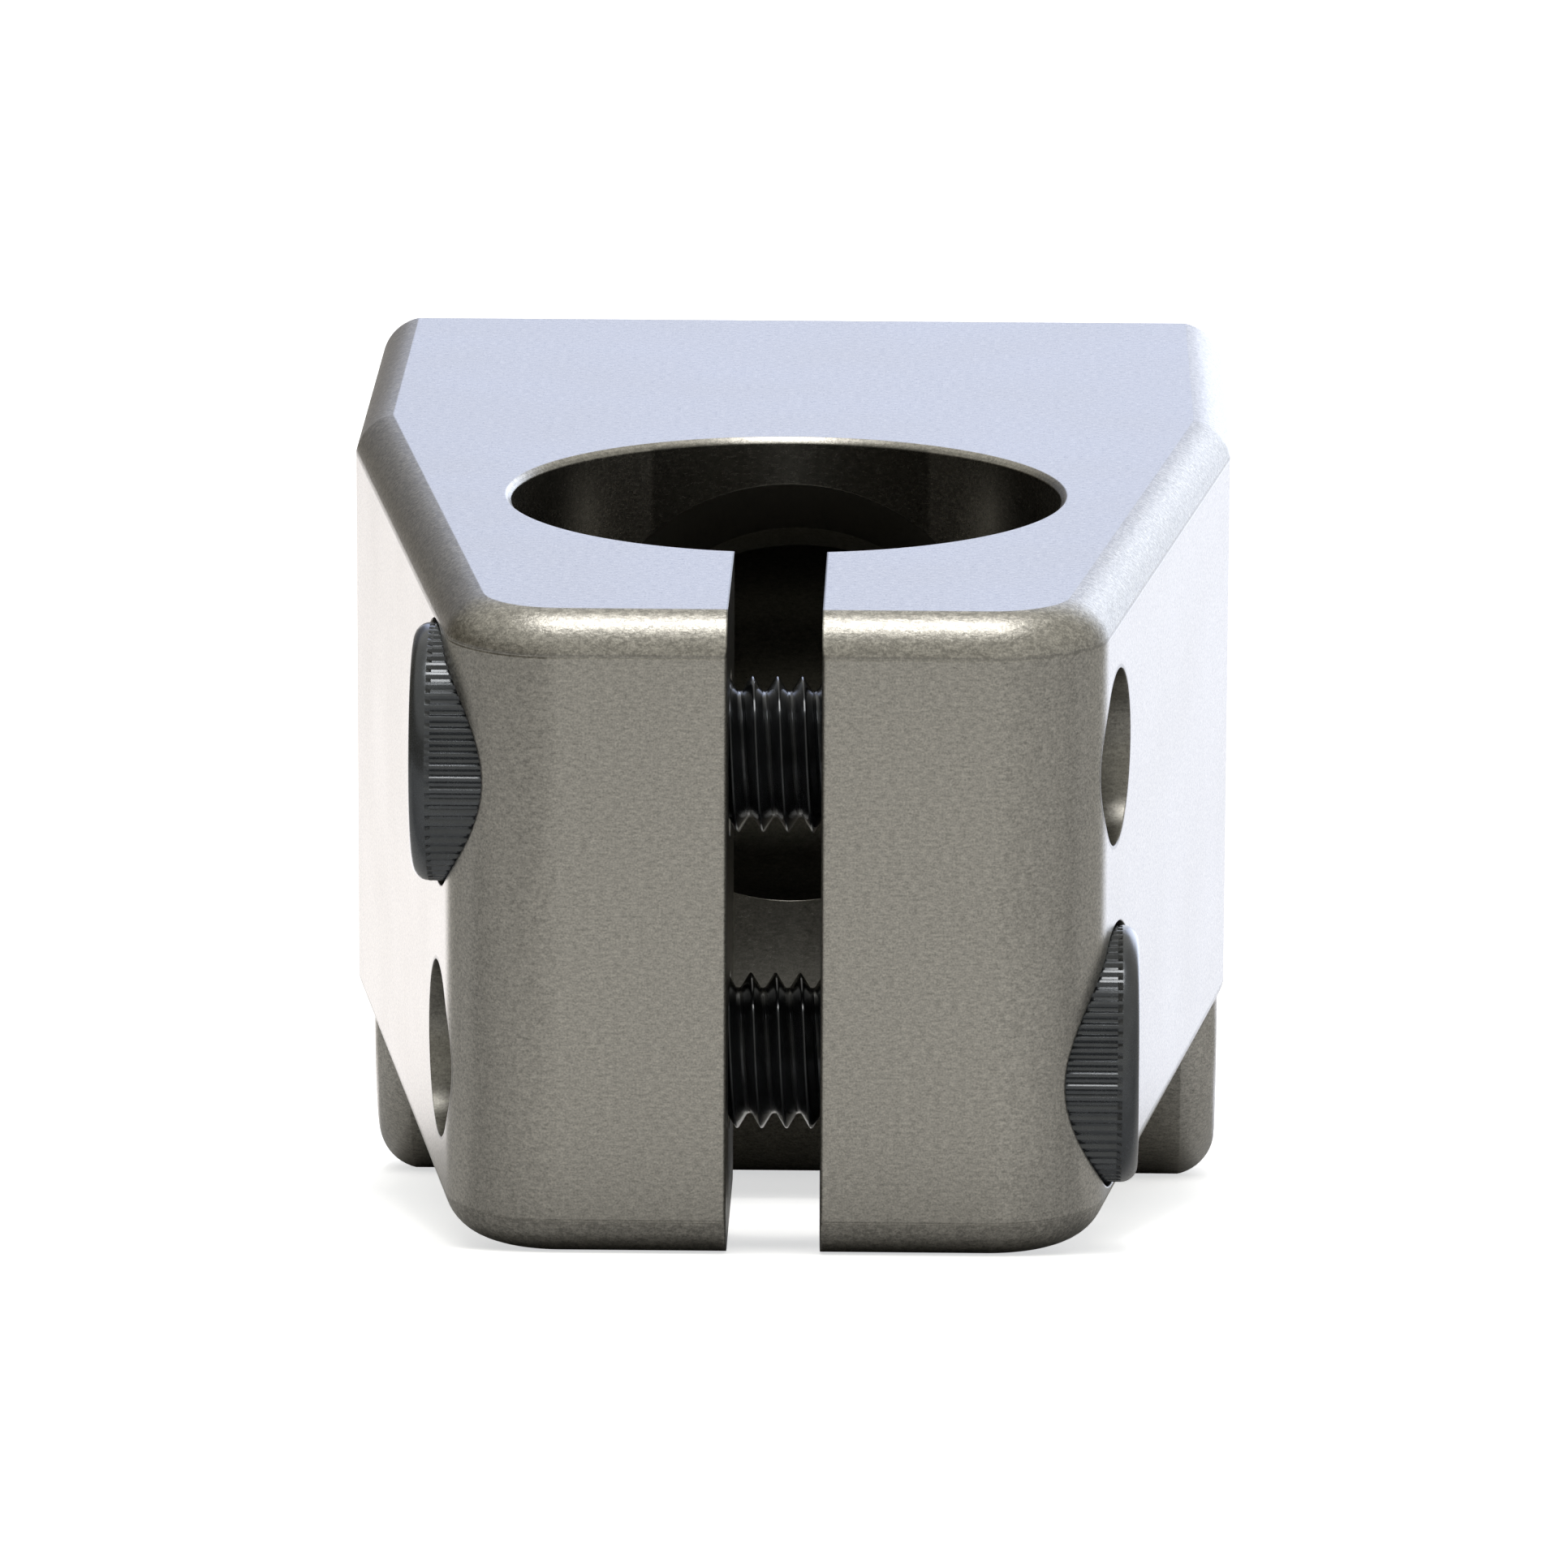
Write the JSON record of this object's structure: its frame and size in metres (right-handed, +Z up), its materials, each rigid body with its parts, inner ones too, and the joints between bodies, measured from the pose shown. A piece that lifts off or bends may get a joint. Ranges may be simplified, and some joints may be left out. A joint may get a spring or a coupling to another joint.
{
  "type": "bicycle handlebar stem",
  "caption": "Short threadless bicycle stem: block with a slotted steerer clamp drawn up by opposed black cap screws, flaring to a front-loading handlebar clamp.",
  "frame": {"origin": "on the steerer axis, at half the height of the steerer clamp", "axes": "+Z up along the steerer, +Y forward to the handlebar, +X along the handlebar"},
  "size_m": [0.047, 0.0945, 0.048],
  "materials": {
    "anodised_body": "satin",
    "black_steel": "black oxide"
  },
  "bodies": {
    "stem": {"stem_body": "anodised_body"},
    "faceplate": {"faceplate": "anodised_body"},
    "steerer_screw_upper": {"steerer_screw_upper": "black_steel"},
    "steerer_screw_lower": {"steerer_screw_lower": "black_steel"},
    "faceplate_screw_upper_left": {"faceplate_screw_upper_left": "black_steel"},
    "faceplate_screw_upper_right": {"faceplate_screw_upper_right": "black_steel"},
    "faceplate_screw_lower_left": {"faceplate_screw_lower_left": "black_steel"},
    "faceplate_screw_lower_right": {"faceplate_screw_lower_right": "black_steel"}
  },
  "joints": [
    {"name": "steerer_screw_upper_turn", "type": "hinge", "parent": "stem", "child": "steerer_screw_upper", "pos_m": [0, -0.0218, 0.0077], "axis": [-1, 0, 0], "continuous": true},
    {"name": "steerer_screw_lower_turn", "type": "hinge", "parent": "stem", "child": "steerer_screw_lower", "pos_m": [0, -0.0218, -0.0077], "axis": [1, 0, 0], "continuous": true},
    {"name": "faceplate_slide", "type": "slide", "parent": "stem", "child": "faceplate", "axis": [0, 1, 0], "range_m": [0, 0.01]},
    {"name": "faceplate_screw_upper_left_turn", "type": "hinge", "parent": "faceplate", "child": "faceplate_screw_upper_left", "pos_m": [-0.01575, 0.057, 0.008], "axis": [0, 1, 0], "range_deg": [0, 3600]},
    {"name": "faceplate_screw_upper_right_turn", "type": "hinge", "parent": "faceplate", "child": "faceplate_screw_upper_right", "pos_m": [0.01575, 0.057, 0.008], "axis": [0, 1, 0], "range_deg": [0, 3600]},
    {"name": "faceplate_screw_lower_left_turn", "type": "hinge", "parent": "faceplate", "child": "faceplate_screw_lower_left", "pos_m": [-0.01575, 0.057, -0.023], "axis": [0, 1, 0], "range_deg": [0, 3600]},
    {"name": "faceplate_screw_lower_right_turn", "type": "hinge", "parent": "faceplate", "child": "faceplate_screw_lower_right", "pos_m": [0.01575, 0.057, -0.023], "axis": [0, 1, 0], "range_deg": [0, 3600]}
  ],
  "couplings": [
    {"joint": "faceplate_screw_upper_left_turn", "follows": "faceplate_slide", "rad_per_m": 6283.2},
    {"joint": "faceplate_screw_upper_right_turn", "follows": "faceplate_slide", "rad_per_m": 6283.2},
    {"joint": "faceplate_screw_lower_left_turn", "follows": "faceplate_slide", "rad_per_m": 6283.2},
    {"joint": "faceplate_screw_lower_right_turn", "follows": "faceplate_slide", "rad_per_m": 6283.2}
  ]
}
